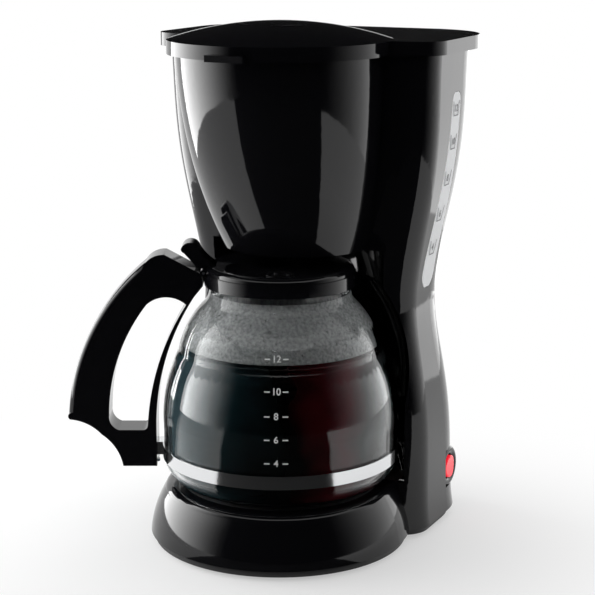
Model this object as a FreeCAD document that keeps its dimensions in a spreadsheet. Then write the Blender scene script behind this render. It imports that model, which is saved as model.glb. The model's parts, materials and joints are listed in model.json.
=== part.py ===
"""Drip coffee maker, built piece by piece in millimetres.

Frame: +Z up, the table at z = 0, the carafe axis at x = y = 0, the front
of the machine towards -Y and the water tower towards +Y.
"""
import FreeCAD
import Part
import math
import os
import Sketcher
from FreeCAD import Placement, Rotation, Vector

SIZES = (
    ("wall", 2.5, "moulded shell wall"),
    ("gap", 0.4, "clearance between seated shells"),
    ("housing_z", 6.0, "lower edge of the base housing"),
    ("cover_z", 1.5, "underside of the bottom cover"),
    ("foot_radius", 8.0, "rubber foot"),
    ("base_radius", 84.0, "base drum at its lower edge"),
    ("base_rim_radius", 74.5, "base drum at its shoulder"),
    ("base_rim_z", 34.0, "height of the shoulder"),
    ("base_top_radius", 70.0, "flat ring round the warming plate"),
    ("plate_z", 38.0, "top of the warming plate"),
    ("plate_radius", 63.0, "warming plate"),
    ("plate_thick", 1.5, "warming plate"),
    ("bay_radius", 80.0, "carafe bay at the widest"),
    ("bay_wide_z", 90.0, "top of the widest part of the bay"),
    ("bay_neck_radius", 65.0, "carafe bay beside the carafe neck"),
    ("bay_neck_z", 165.0, "height of that narrowing"),
    ("tower_top_z", 317.2, "upper edge of the housing walls"),
    ("tower_top_half", 93.8, "half width at the top"),
    ("tower_top_front", 16.0, "front face at the top"),
    ("tower_top_rear", 118.0, "rear face at the top"),
    ("tower_high_z", 286.0, "just below the lid"),
    ("tower_high_half", 92.6, "half width there"),
    ("tower_high_front", 17.0, "front face there"),
    ("tower_high_rear", 117.6, "rear face there"),
    ("tower_mid_z", 236.0, "bulged middle of the tower"),
    ("tower_mid_half", 89.0, "half width there"),
    ("tower_mid_front", 20.0, "front face there"),
    ("tower_mid_rear", 116.0, "rear face there"),
    ("waist_z", 150.0, "narrowest height"),
    ("waist_half", 75.5, "half width at the waist"),
    ("waist_front", 25.0, "front face at the waist"),
    ("waist_rear", 111.0, "rear face at the waist"),
    ("flare_z", 82.0, "height of the lower flare"),
    ("flare_half", 84.5, "half width there"),
    ("flare_front", 24.0, "front edge there"),
    ("flare_rear", 115.0, "rear face there"),
    ("low_z", 42.0, "just above the base shoulder"),
    ("low_half", 86.4, "half width there"),
    ("low_front", 23.0, "front edge there"),
    ("low_rear", 116.8, "rear face there"),
    ("foot_half", 88.5, "half width at the bottom"),
    ("foot_front", 22.0, "front edge at the bottom"),
    ("foot_rear", 118.0, "rear face at the bottom"),
    ("front_round", 18.0, "front corners of the tower plan"),
    ("rear_round", 45.0, "rear corners of the tower plan"),
    ("seam_z", 165.0, "seam between the housings at the wing front"),
    ("seam_slope", 12.7, "fall of that seam towards the rear, degrees"),
    ("pour_hinge_x", 48.0, "axis of the pouring lid from the carafe's axis"),
    ("pour_hinge_z", 175.2, "height of that axis"),
    ("pour_knuckle", 2.2, "radius of the pouring lid's knuckle"),
    ("pour_pin", 1.0, "radius of the pouring lid's pin"),
    ("lever_half", 8.0, "half width of the thumb lever"),
    ("drum_top_radius", 64.0, "brew drum under the lid"),
    ("drum_mid_radius", 60.5, "brew drum at half height"),
    ("drum_mid_z", 251.0, "that height"),
    ("drum_mid_shift", 9.0, "set back of the drum there"),
    ("drum_low_radius", 47.5, "brew drum at its floor"),
    ("drum_low_z", 188.0, "underside of the brew drum"),
    ("drum_low_shift", 26.0, "set back of the drum there"),
    ("well_floor", 3.0, "floor of the brew drum"),
    ("nozzle_radius", 9.0, "drip nozzle of the basket"),
    ("lid_z", 311.5, "lower edge of the lid skirt"),
    ("lid_edge_z", 320.0, "top of the lid edge"),
    ("lid_crest_z", 331.0, "crest of the dome"),
    ("lid_radius", 69.5, "dome skirt"),
    ("lid_half", 98.5, "half width of the rear deck"),
    ("lid_front", 11.0, "front edge of the rear deck"),
    ("lid_rear", 122.5, "rear edge of the rear deck"),
    ("lid_wall", 2.3, "lid shell"),
    ("hinge_y", 125.5, "lid hinge axis"),
    ("hinge_z", 306.5, "lid hinge axis"),
    ("hinge_pin_radius", 1.5, "lid hinge pin"),
    ("hinge_x", 46.0, "middle of each hinge"),
    ("basket_rim_z", 300.0, "rim of the filter basket"),
    ("basket_rim_radius", 58.0, "filter basket at the rim"),
    ("basket_low_radius", 30.0, "filter basket at the floor"),
    ("basket_low_shift", 12.0, "set back of the basket floor"),
    ("basket_wall", 1.8, "filter basket wall"),
    ("tank_floor_z", 170.0, "underside of the water tank"),
    ("tank_rim_z", 311.0, "rim of the water tank"),
    ("glass_wall", 2.6, "carafe glass"),
    ("glass_foot_z", 38.2, "underside of the carafe"),
    ("band_z", 55.3, "lower edge of the steel band"),
    ("band_high", 8.4, "steel band"),
    ("band_thick", 0.7, "steel band"),
    ("glass_radius", 75.0, "carafe at the band"),
    ("neck_radius", 45.0, "carafe neck"),
    ("collar_z", 167.0, "lower edge of the collar"),
    ("collar_high", 8.0, "collar"),
    ("handle_thick", 21.0, "handle across the grip"),
    ("handle_turn", 206.0, "handle direction, degrees from +X"),
    ("rocker_y", 80.0, "switch centre, front to rear"),
    ("rocker_z", 34.0, "switch centre, height"),
    ("rocker_half", 9.5, "half length of the rocker opening"),
    ("hose_bore", 4.0, "inner radius of the hoses"),
    ("hose_radius", 6.0, "outer radius of the hoses"),
)

DOC = FreeCAD.newDocument("coffee_maker")
SHEET = DOC.addObject("Spreadsheet::Sheet", "dim")
for row, (alias, size, note) in enumerate(SIZES, start=1):
    SHEET.set(f"A{row}", note)
    SHEET.set(f"B{row}", str(size))
    SHEET.setAlias(f"B{row}", alias)
DOC.recompute()

PIECES = {}


def number(text):
    """Return the value of an expression over the sheet."""
    result = SHEET.evalExpression(str(text))
    return float(getattr(result, "Value", result))


def bind(feature, **sizes):
    """Bind properties of a feature to expressions."""
    for prop, text in sizes.items():
        name = prop.replace("__", ".")
        feature.setExpression(name, str(text))
    return feature


def place(feature, x="0", y="0", z="0", axis=None, angle="0"):
    """Place a feature by expressions, turned about an axis."""
    turn = Rotation(Vector(*axis), number(angle)) if axis else Rotation()
    feature.Placement = Placement(Vector(number(x), number(y), number(z)), turn)
    for prop, text in (("x", x), ("y", y), ("z", z)):
        feature.setExpression(f"Placement.Base.{prop}", str(text))
    if axis:
        feature.setExpression("Placement.Rotation.Angle", str(angle))
    return feature


def keep(node, feature):
    """Register a finished feature as the piece called node."""
    feature.Label = node
    PIECES[node] = feature
    return feature


def cylinder(name, radius, high, x="0", y="0", z="0", axis=None, angle="0"):
    """Return a parametric cylinder."""
    rod = DOC.addObject("Part::Cylinder", name)
    bind(rod, Radius=radius, Height=high)
    return place(rod, x, y, z, axis, angle)


def box(name, length, width, high, x="0", y="0", z="0", axis=None, angle="0"):
    """Return a parametric box."""
    block = DOC.addObject("Part::Box", name)
    bind(block, Length=length, Width=width, Height=high)
    return place(block, x, y, z, axis, angle)


def cut(name, base, *tools):
    """Return base less every tool."""
    for index, tool in enumerate(tools):
        step = DOC.addObject("Part::Cut", f"{name}_cut{index}")
        step.Base, step.Tool = base, tool
        base = step
    return base


def fuse(name, *shapes):
    """Return the union of the shapes."""
    union = DOC.addObject("Part::MultiFuse", name)
    union.Shapes = list(shapes)
    union.Refine = False
    return union


def common(name, base, tool):
    """Return what two shapes share."""
    both = DOC.addObject("Part::Common", name)
    both.Base, both.Tool = base, tool
    return both


def group(name, *shapes):
    """Return separate solids as one group."""
    several = DOC.addObject("Part::Compound", name)
    several.Links = list(shapes)
    return several


def new_body(name):
    """Return an empty body."""
    return DOC.addObject("PartDesign::Body", name)


def new_sketch(body, name, role, height=None):
    """Return a sketch on one of the body's own planes."""
    sketch = body.newObject("Sketcher::SketchObject", name)
    plane = next(o for o in body.Origin.OriginFeatures if o.Role == role)
    sketch.AttachmentSupport = [(plane, "")]
    sketch.MapMode = "FlatFace"
    if height is not None:
        sketch.AttachmentOffset = Placement(Vector(0, 0, number(height)), Rotation())
        sketch.setExpression("AttachmentOffset.Base.z", str(height))
    return sketch


def hold(sketch, kind, geo, spot, text):
    """Fix one coordinate of a point to an expression."""
    size = number(text)
    if abs(size) < 1e-9:
        line = -2 if kind == "DistanceX" else -1
        sketch.addConstraint(Sketcher.Constraint("PointOnObject", geo, spot, line))
        return
    ends = (-1, 1, geo, spot) if size > 0 else (geo, spot, -1, 1)
    index = sketch.addConstraint(Sketcher.Constraint(kind, *ends, abs(size)))
    sketch.setExpression(f"Constraints[{index}]", str(text) if size > 0 else f"-({text})")


def outline(sketch, points):
    """Draw a closed outline of lines and arcs.

    Each point is (x, y) or (x, y, radius): the radius rounds the stretch
    that ends there, with its centre left of the way for a positive radius
    and right of it for a negative one.
    """
    if points[0] == "ring":
        centre = Vector(0, number(points[2]), 0)
        geo = sketch.addGeometry(Part.Circle(centre, Vector(0, 0, 1), number(points[1])), False)
        spot = sketch.addConstraint(Sketcher.Constraint("Radius", geo, number(points[1])))
        sketch.setExpression(f"Constraints[{spot}]", str(points[1]))
        hold(sketch, "DistanceX", geo, 3, "0")
        hold(sketch, "DistanceY", geo, 3, points[2])
        return sketch
    spots = [Vector(number(p[0]), number(p[1]), 0) for p in points]
    ends = []
    for index, point in enumerate(points):
        start, end = spots[index - 1], spots[index]
        if len(point) < 3:
            geo = sketch.addGeometry(Part.LineSegment(start, end), False)
            ends.append((geo, 1, 2))
            continue
        radius = number(point[2])
        chord = end - start
        left = Vector(-chord.y, chord.x, 0).normalize()
        reach = math.sqrt(max(radius * radius - (chord.Length / 2) ** 2, 0.0))
        centre = (start + end) * 0.5 + left * math.copysign(reach, radius)
        first, last = (start, end) if radius > 0 else (end, start)
        ring = Part.Circle(centre, Vector(0, 0, 1), abs(radius))
        angles = [math.atan2(p.y - centre.y, p.x - centre.x) for p in (first, last)]
        if angles[1] <= angles[0]:
            angles[1] += 2 * math.pi
        geo = sketch.addGeometry(Part.ArcOfCircle(ring, *angles), False)
        ends.append((geo, 1, 2) if radius > 0 else (geo, 2, 1))
    for index, (geo, _, last) in enumerate(ends):
        follower = ends[(index + 1) % len(ends)]
        sketch.addConstraint(
            Sketcher.Constraint("Coincident", geo, last, follower[0], follower[1]))
        hold(sketch, "DistanceX", geo, last, points[index][0])
        hold(sketch, "DistanceY", geo, last, points[index][1])
        if len(points[index]) == 3:
            radius = number(points[index][2])
            text = points[index][2] if radius > 0 else f"-({points[index][2]})"
            spot = sketch.addConstraint(Sketcher.Constraint("Radius", geo, abs(radius)))
            sketch.setExpression(f"Constraints[{spot}]", str(text))
    return sketch


def turned(name, points, degrees=360.0):
    """Return a body turned about Z from an (r, z) outline."""
    body = new_body(name)
    sketch = outline(new_sketch(body, f"{name}_profile", "XZ_Plane"), points)
    turn = body.newObject("PartDesign::Revolution", f"{name}_turn")
    turn.Profile = sketch
    turn.ReferenceAxis = (sketch, ["V_Axis"])
    turn.Angle = degrees
    return body


def padded(name, points, length, role="XY_Plane", height=None, middle=False, holes=()):
    """Return a body padded from an outline with holes."""
    body = new_body(name)
    sketch = outline(new_sketch(body, f"{name}_outline", role, height), points)
    for hole in holes:
        outline(sketch, hole)
    pad = body.newObject("PartDesign::Pad", f"{name}_pad")
    pad.Profile = sketch
    bind(pad, Length=length)
    pad.SideType = "Symmetric" if middle else "One side"
    return body


def lofted(name, sections):
    """Return a body lofted through (height, outline) sections."""
    body = new_body(name)
    sketches = [
        outline(new_sketch(body, f"{name}_level{index}", "XY_Plane", height), points)
        for index, (height, points) in enumerate(sections)]
    loft = body.newObject("PartDesign::AdditiveLoft", f"{name}_loft")
    loft.Profile = sketches[0]
    loft.Sections = sketches[1:]
    return body


def plan(half, front, rear, inset="0", front_round="dim.front_round"):
    """Return the rounded plan of the tower, drawn in by inset."""
    w, f, r = f"({half} - ({inset}))", f"({front} + {inset})", f"({rear} - ({inset}))"
    rf, rr = f"({front_round} - ({inset}))", f"(dim.rear_round - ({inset}))"
    return [
        (f"-({w} - {rf})", f), (f"{w} - {rf}", f),
        (w, f"{f} + {rf}", rf), (w, f"{r} - {rr}"),
        (f"{w} - {rr}", r, rr), (f"-({w} - {rr})", r),
        (f"-{w}", f"{r} - {rr}", rr), (f"-{w}", f"{f} + {rf}"),
    ][1:] + [(f"-({w} - {rf})", f, rf)]


def tower(name, inset, low="dim.housing_z", top="dim.tower_top_z"):
    """Return the hourglass of the machine, drawn in by inset."""
    levels = [(low, "foot"), ("dim.low_z", "low"), ("dim.flare_z", "flare"),
              ("dim.waist_z", "waist"), ("dim.tower_mid_z", "tower_mid"),
              ("dim.tower_high_z", "tower_high"), (top, "tower_top")]
    return lofted(name, [
        (height, plan(f"dim.{k}_half", f"dim.{k}_front", f"dim.{k}_rear", inset))
        for height, k in levels])


def ring_outline(radius, shift):
    """Return a circle about (0, shift)."""
    return ("ring", radius, shift)


def drum(name, offset, low="dim.drum_low_z", top="dim.tower_top_z"):
    """Return the brew drum, offset outwards."""
    return lofted(name, [
        (low, ring_outline(f"dim.drum_low_radius + {offset}", "dim.drum_low_shift")),
        ("dim.drum_mid_z", ring_outline(f"dim.drum_mid_radius + {offset}", "dim.drum_mid_shift")),
        (top, ring_outline(f"dim.drum_top_radius + {offset}", "0"))])


def bay(name, offset, low="dim.plate_z", top="dim.drum_low_z"):
    """Return the room that the carafe takes, offset outwards."""
    wide, neck = f"dim.bay_radius + {offset}", f"dim.bay_neck_radius + {offset}"
    return turned(name, [
        ("0", low), (wide, low), (wide, "dim.bay_wide_z"),
        (neck, "dim.bay_neck_z", "95"), (neck, f"{top} + {offset}"),
        ("0", f"{top} + {offset}")])


def half_space(name, side):
    """Return a big block above or below the sloping seam."""
    low = "0" if side > 0 else "-400"
    block = box(name, "400", "400", "400", "-200", "-100", low)
    tilt = Rotation(Vector(1, 0, 0), -number("dim.seam_slope"))
    pivot = Vector(0, number("dim.waist_front"), number("dim.seam_z"))
    shift = Vector(-200, -150, 0 if side > 0 else -400)
    block.Placement = Placement(pivot + tilt.multVec(shift), tilt)
    for prop in ("x", "y", "z"):
        block.setExpression(f"Placement.Base.{prop}", None)
    return block


# Housings
outer = tower("outer", "0")
cavity = cut("cavity", tower("inner", "dim.wall", "dim.housing_z - 1", "dim.tower_top_z + 1"),
             bay("bay_wall", "dim.wall"))
bay_room = bay("bay_room", "0")
shell = cut("shell", outer, cavity, bay_room)

base_drum = turned("base_drum", [
    ("0", "dim.housing_z"), ("dim.base_radius", "dim.housing_z"),
    ("dim.base_rim_radius", "dim.base_rim_z", "70"),
    ("dim.base_top_radius", "dim.plate_z", "6"), ("0", "dim.plate_z")])
base_room = turned("base_room", [
    ("0", "dim.housing_z - 1"), ("dim.base_radius - dim.wall", "dim.housing_z - 1"),
    ("dim.base_rim_radius - dim.wall", "dim.base_rim_z - dim.wall", "70"),
    ("0", "dim.base_rim_z - dim.wall")])
plate_room = (base_room,
              cylinder("plate_seat", "dim.plate_radius + dim.gap", "6", z="dim.plate_z - 2.5"),
              cylinder("plate_hole", "dim.plate_radius - 5", "40", z="dim.housing_z"))
seat_ring = cut("seat_ring", base_drum, *plate_room)
lower_shell = common("lower_shell", shell, half_space("below_seam", -1))
upper_shell = common("upper_shell", shell, half_space("above_seam", 1))
rear_zone = box("rear_zone", "300", "80", "300", "-150", "86", "22")

BOSSES = (("45", "-52"), ("-45", "-52"), ("70", "101"), ("-70", "101"))
BOSS_HIGH = "dim.base_rim_z - dim.wall - dim.housing_z + 1.5"
bosses = [cylinder(f"boss{i}", "5", BOSS_HIGH, x, y, "dim.housing_z")
          for i, (x, y) in enumerate(BOSSES)]
bores = [cylinder(f"boss_bore{i}", "1.6", "15", x, y, "dim.housing_z - 1")
         for i, (x, y) in enumerate(BOSSES)]
SLOT_HIGH = "2 * dim.rocker_half + 6.4"
rocker_slot = box("rocker_slot", "60", "15.4", SLOT_HIGH, "60",
                  "dim.rocker_y - 7.7", "dim.rocker_z - dim.rocker_half - 3.2")
gland_hole = cylinder("gland_hole", "6.2", "40", "-40", "90", "34", (1, 0, 0), "-90")
base_joined = fuse("base_joined", cut("low_front", lower_shell, rear_zone, *plate_room),
                   cut("ring_part", seat_ring, cavity))
keep("base_housing", cut("base_shape", fuse("base_fused", base_joined, *bosses),
                         *bores, rocker_slot))
keep("rear_cover", cut("rear_shape", common("rear_part", lower_shell, rear_zone),
                       gland_hole, rocker_slot, *bosses))


def window(name, less):
    """Return the prism of the gauge window, drawn in by less."""
    low, top = f"160 + {less}", f"286 - {less}"
    return padded(name, [
        (f"69 - {less}", "172"), (f"70 - {less}", "280"), (f"66 - {less}", top, "6"),
        (f"60 + {less}", top), (f"56 + {less}", "280", "6"), (f"49 + {less}", "172"),
        (f"55 + {less}", low, "12"), (f"63 - {less}", low), (f"69 - {less}", "172", "12"),
    ][1:], "60", "YZ_Plane", "60")


well = drum("well", "0 - dim.wall", "dim.drum_low_z + dim.well_floor", "dim.tower_top_z + 1")
spout_hole = cylinder("spout_hole", "3.2", "43", "52", "86", "306", (0.931, -0.364, 0), "90")
nozzle_hole = cylinder("nozzle_hole", "dim.nozzle_radius + 3", "20", z="dim.drum_low_z - 5")
EARS = ("dim.hinge_x - 12", "dim.hinge_x + 6", "-dim.hinge_x - 12", "-dim.hinge_x + 6")
ears = [box(f"ear{i}", "6", "dim.hinge_y - dim.tower_top_rear + 5", "7", x,
            "dim.tower_top_rear - 1.5", "dim.hinge_z - 4") for i, x in enumerate(EARS)]
HINGES = ("dim.hinge_x - 12", "-dim.hinge_x - 12")
ear_bores = [cylinder(f"ear_bore{i}", "dim.hinge_pin_radius + 0.03", "24", x, "dim.hinge_y",
                      "dim.hinge_z", (0, 1, 0), "90") for i, x in enumerate(HINGES)]
drum_outer = drum("drum_outer", "0")
floor_zone = box("floor_zone", "300", "300", "dim.well_floor", "-150", "-150", "dim.drum_low_z")
keep("upper_housing", cut("upper_shape", fuse("upper_fused", upper_shell, *ears),
                          drum_outer, window("window_hole", "0"), spout_hole, *ear_bores))
keep("brew_drum", cut("drum_wall", drum_outer, well, floor_zone, spout_hole))
keep("drum_floor", cut("floor_shape", common("floor_disc", drum_outer, floor_zone), nozzle_hole))
keep("gauge_window", common("gauge_shape", upper_shell, window("window_pane", "0.2")))

# Base
cover = fuse("cover_plate",
             cylinder("cover_disc", "dim.base_radius - 2.6", "4.5", z="dim.cover_z"),
             padded("cover_tail", plan("dim.foot_half - 3", "dim.foot_front + 3",
                                       "dim.foot_rear - 3"), "4.5", height="dim.cover_z"))
FEET = (("50", "-40"), ("-50", "-40"), ("48", "88"), ("-48", "88"))
foot_pockets = [cylinder(f"foot_pocket{i}", "dim.foot_radius", "1.5", x, y, "dim.cover_z")
                for i, (x, y) in enumerate(FEET)]
screw_holes = [cylinder(f"screw_hole{i}", "1.8", "10", x, y) for i, (x, y) in enumerate(BOSSES)]
screw_sinks = [cylinder(f"screw_sink{i}", "3.6", "2", x, y, "dim.cover_z")
               for i, (x, y) in enumerate(BOSSES)]
keep("bottom_cover", cut("bottom_shape", cover, *foot_pockets, *screw_holes, *screw_sinks))
keep("rubber_feet", group("feet", *[
    cylinder(f"foot{i}", "dim.foot_radius", "dim.cover_z + 1.5", x, y)
    for i, (x, y) in enumerate(FEET)]))
keep("bottom_screws", group("screws", *[
    fuse(f"screw{i}", cylinder(f"screw_head{i}", "3.2", "1.8", x, y, "dim.cover_z + 0.2"),
         cylinder(f"screw_shank{i}", "1.5", "14", x, y, "dim.cover_z + 2"))
    for i, (x, y) in enumerate(BOSSES)]))
SEAT_Z, PLATE_LOW = "dim.plate_z - 2.5", "dim.plate_z - dim.plate_thick"
keep("plate_seal", turned("seal_shape", [
    ("dim.plate_radius - 4.5", SEAT_Z), ("dim.plate_radius", SEAT_Z),
    ("dim.plate_radius", PLATE_LOW), ("dim.plate_radius - 4.5", PLATE_LOW)]))
keep("warming_plate", turned("plate_shape", [
    ("0", f"{PLATE_LOW} - 0.6"), ("dim.plate_radius - 12", f"{PLATE_LOW} - 0.6"),
    ("dim.plate_radius - 9", PLATE_LOW), ("dim.plate_radius", PLATE_LOW),
    ("dim.plate_radius", "dim.plate_z"), ("dim.plate_radius - 9", "dim.plate_z"),
    ("dim.plate_radius - 12", "dim.plate_z - 0.6"), ("0", "dim.plate_z - 0.6")]))
COIL_TOP = f"{PLATE_LOW} - 0.6"
coil = turned("heater_coil", [
    ("34", f"{COIL_TOP} - 11"), ("47", f"{COIL_TOP} - 11"), ("47", COIL_TOP), ("34", COIL_TOP)],
    270.0)
keep("heating_element", place(coil, axis=(0, 0, 1), angle="135"))
keep("thermostat", cylinder("thermostat_can", "9", "7", "0", "0", f"{COIL_TOP} - 7"))

keep("thermal_fuse", cylinder("fuse_can", "2.5", "16", "-8", "12", f"{COIL_TOP} - 3.2",
                              (0, 1, 0), "90"))
keep("heater_clamp", box("clamp_strap", "98", "10", "1.2", "-49", "-5", f"{COIL_TOP} - 12.4"))


def pipe(name, points, radius, bore):
    """Return a hose along a smooth way through the points."""
    way = Part.BSplineCurve()
    way.interpolate([Vector(*p) for p in points])
    spine = Part.Wire(way.toShape())
    start = way.tangent(way.FirstParameter)[0]
    tubes = []
    for size in (radius, bore):
        ring = Part.Wire(Part.makeCircle(number(size), Vector(*points[0]), start))
        tubes.append(spine.makePipeShell([ring], True, True))
    hose = DOC.addObject("Part::Feature", name)
    hose.Shape = tubes[0].cut(tubes[1])
    return hose


coil_mid = number(COIL_TOP) - 5.5
tank_low = number("dim.tank_floor_z")
side = number("dim.foot_half")
HOSE = ("dim.hose_radius - 1", "dim.hose_bore - 1")
for node, hand in (("inlet_hose", -1), ("riser_tube", 1)):
    keep(node, pipe(f"{node}_way", [
        (27 * hand, 30.5, coil_mid), (23.5 * hand, 34.5, coil_mid), (25 * hand, 46, coil_mid - 3),
        ((side - 40.5) * hand, 72, 24), ((side - 32.5) * hand, 86, 60), (53 * hand, 87, 120),
        (52 * hand, 86, tank_low - 20), (52 * hand, 86, tank_low - 8)], *HOSE))

keep("hose_clamps", group("clamps", *[
    cut(f"clamp{i}", cylinder(f"clamp_out{i}", "dim.hose_radius + 0.2", "4", x, "86",
                              "dim.tank_floor_z - 13"),
        cylinder(f"clamp_in{i}", "dim.hose_radius - 0.8", "8", x, "86", "dim.tank_floor_z - 15"))
    for i, x in enumerate(("-52", "52"))]))

# Water tank
TANK_IN = "dim.wall + dim.gap"
tank_box = box("tank_zone", "300", "300", "dim.tank_rim_z - dim.tank_floor_z", "-150", "0",
               "dim.tank_floor_z")
tank_room = box("tank_room", "300", "300", "200", "-150", "0", "dim.tank_floor_z + 2")
tank_shape = cut("tank_outside", common("tank_part", tower("tank_loft", TANK_IN), tank_box),
                 drum("tank_drum", "dim.gap + 0.6", "dim.drum_low_z - 0.6", "dim.tower_top_z + 1"),
                 bay("tank_bay", TANK_IN))
tank_space = cut("tank_inside", common("tank_void", tower("tank_in", f"{TANK_IN} + 2"), tank_room),
                 drum("tank_drum_in", "dim.gap + 2.6", "dim.drum_low_z - 2.6", "dim.tower_top_z + 2"),
                 bay("tank_bay_in", f"{TANK_IN} + 2"))
keep("reservoir_tank", cut("tank_shape", tank_shape, tank_space,
                           cylinder("tank_drain", "2", "20", "-52", "86", "dim.tank_floor_z - 5"),
                           cylinder("pipe_way", "3", "20", "52", "86", "dim.tank_floor_z - 5"),
                           spout_hole))
PIPE_OUT, PIPE_LOW = "dim.hose_bore - 1.2", "dim.tank_floor_z - 13"
SPOUT = ("52", "86", "306", (0.931, -0.364, 0), "90")
keep("riser_pipe", cut("pipe_shape", fuse(
    "pipe_union",
    cylinder("pipe_up", PIPE_OUT, f"306 + {PIPE_OUT} - ({PIPE_LOW})", "52", "86", PIPE_LOW),
    cylinder("pipe_out", PIPE_OUT, "37", *SPOUT)),
    cylinder("pipe_bore", "2", f"308 - ({PIPE_LOW}) + 1", "52", "86", f"{PIPE_LOW} - 1"),
    cylinder("spout_bore", "2", "40", *SPOUT)))
keep("check_valve", cut("check_shape", fuse(
    "check_body", cylinder("check_flange", "8", "2", "-52", "86", "dim.tank_floor_z - 2"),
    cylinder("check_stub", "dim.hose_bore - 1.2", "12", "-52", "86", "dim.tank_floor_z - 13")),
    cylinder("check_bore", "2", "30", "-52", "86", "dim.tank_floor_z - 20")))

# Lid
lid_plan = ("dim.lid_half", "dim.lid_front", "dim.lid_rear")
dome = turned("dome", [
    ("0", "dim.lid_z"), ("dim.lid_radius", "dim.lid_z"), ("dim.lid_radius", "dim.lid_edge_z"),
    ("0", "dim.lid_crest_z", "225")])
dome_in = turned("dome_in", [
    ("0", "dim.lid_z - 1"), ("dim.lid_radius - dim.lid_wall", "dim.lid_z - 1"),
    ("dim.lid_radius - dim.lid_wall", "dim.lid_edge_z - dim.lid_wall"),
    ("0", "dim.lid_crest_z - dim.lid_wall", "225")])
deck = padded("deck", plan(*lid_plan), "dim.lid_edge_z - dim.lid_z", height="dim.lid_z")
deck_in = padded("deck_in", plan(*lid_plan, "dim.lid_wall"),
                 "dim.lid_edge_z - dim.lid_z - dim.lid_wall + 1", height="dim.lid_z - 1")
tab = box("tab", "25", "8", "4", "-12.5", "-dim.lid_radius - 3.5", "dim.lid_z - 0.5")
knuckles = [cylinder(f"knuckle{i}", "3.4", "11.6", f"{x} + 6.2", "dim.hinge_y", "dim.hinge_z",
                     (0, 1, 0), "90") for i, x in enumerate(HINGES)]
links = [box(f"hinge_link{i}", "11.6", "4.5", "dim.lid_z - dim.hinge_z + 4", f"{x} + 6.2",
             "dim.hinge_y - 4.5", "dim.hinge_z") for i, x in enumerate(HINGES)]
knuckle_bores = [cylinder(f"knuckle_bore{i}", "dim.hinge_pin_radius + 0.04", "30", f"{x} - 3",
                          "dim.hinge_y", "dim.hinge_z", (0, 1, 0), "90")
                 for i, x in enumerate(HINGES)]
keep("brew_lid", cut("lid_shape", fuse("lid_fused", cut("lid_cup", fuse("lid_top", dome, deck),
                                                        dome_in, deck_in), tab, *knuckles, *links),
                     *knuckle_bores))
keep("hinge_pins", group("pins", *[
    cylinder(f"pin{i}", "dim.hinge_pin_radius", "24", x, "dim.hinge_y", "dim.hinge_z",
             (0, 1, 0), "90") for i, x in enumerate(HINGES)]))
keep("shower_head", turned("shower_shape", [
    ("0", "316"), ("30", "316"), ("30", "319"), ("5", "319"),
    ("5", "dim.lid_crest_z - dim.lid_wall - 0.1"), ("0", "dim.lid_crest_z - dim.lid_wall - 0.1")]))

# Filter basket and drip stop

def cup(name, inset, low, top):
    """Return the filter basket's cone, drawn in by inset."""
    return lofted(name, [
        (low, ring_outline(f"dim.basket_low_radius - {inset}", "dim.basket_low_shift")),
        (top, ring_outline(f"dim.basket_rim_radius - {inset}", "0"))])


FLOOR_Z = "dim.drum_low_z + dim.well_floor"
nozzle = cylinder("nozzle", "dim.nozzle_radius", "6.5", z="dim.drum_low_z - 1.5")
rim = turned("basket_rim", [
    ("dim.basket_rim_radius - 2", "dim.basket_rim_z - 3"),
    ("dim.basket_rim_radius + 1", "dim.basket_rim_z - 3"),
    ("dim.basket_rim_radius + 1", "dim.basket_rim_z"),
    ("dim.basket_rim_radius - 2", "dim.basket_rim_z")])
keep("brew_basket", cut("basket_shape", fuse(
    "basket_fused", cut("basket_cup", cup("basket_out", "0", FLOOR_Z, "dim.basket_rim_z"),
                        cup("basket_in", "dim.basket_wall", f"{FLOOR_Z} + 2.2",
                            "dim.basket_rim_z + 1")), nozzle, rim),
    cylinder("nozzle_bore", "4.05", "40", z="dim.drum_low_z - 10"),
    cylinder("nozzle_cell", "dim.nozzle_radius - 1.6", "4.7", z="dim.drum_low_z - 2.5")))
keep("drip_valve", fuse("valve_shape", cylinder("valve_stem", "4", "9.5", z="dim.drum_low_z - 3"),
                        cylinder("valve_head", "6.5", "1.6", z=f"{FLOOR_Z} + 3.2")))
keep("valve_seal", cut("valve_ring", cylinder("valve_ring_out", "6.5", "1", z=f"{FLOOR_Z} + 2.2"),
                       cylinder("valve_ring_in", "4.05", "3", z=f"{FLOOR_Z} + 1")))
keep("valve_spring", cut("spring_shape", cylinder("spring_out", "6.2", "3", z="dim.drum_low_z - 0.8"),
                         cylinder("spring_in", "5.2", "8", z="dim.drum_low_z - 3")))

# Carafe
GLASS = (("58", "dim.glass_foot_z"), ("dim.glass_radius", "dim.band_z", "20"),
         ("dim.glass_radius", "dim.band_z + 20"), ("65", "124", "95"),
         ("dim.neck_radius + 2.5", "156", "60"), ("dim.neck_radius", "dim.collar_z", "-14"),
         ("dim.neck_radius", "dim.collar_z + dim.collar_high"))
t = "dim.glass_wall"
glass_in = [("dim.neck_radius - 2.6", "dim.collar_z + dim.collar_high"),
            (f"dim.neck_radius - {t}", "dim.collar_z"),
            (f"dim.neck_radius + 2.5 - {t}", "155", "11"), (f"65 - {t}", "122.6", "-58"),
            (f"dim.glass_radius - {t}", "dim.band_z + 19", "-92"),
            (f"dim.glass_radius - {t}", "dim.band_z"),
            (f"58 - {t}", f"dim.glass_foot_z + {t}", "-18"), ("0", f"dim.glass_foot_z + {t}")]
keep("carafe_glass", turned("glass_shape", [("0", "dim.glass_foot_z"), *GLASS, *glass_in]))
BAND_IN = "dim.glass_radius + 0.05"
band_lug = box("band_lug", "9", "12", "dim.band_high", "dim.glass_radius + 0.3", "-6", "dim.band_z")
ROUND = ((0, 0, 1), "dim.handle_turn")
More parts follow.
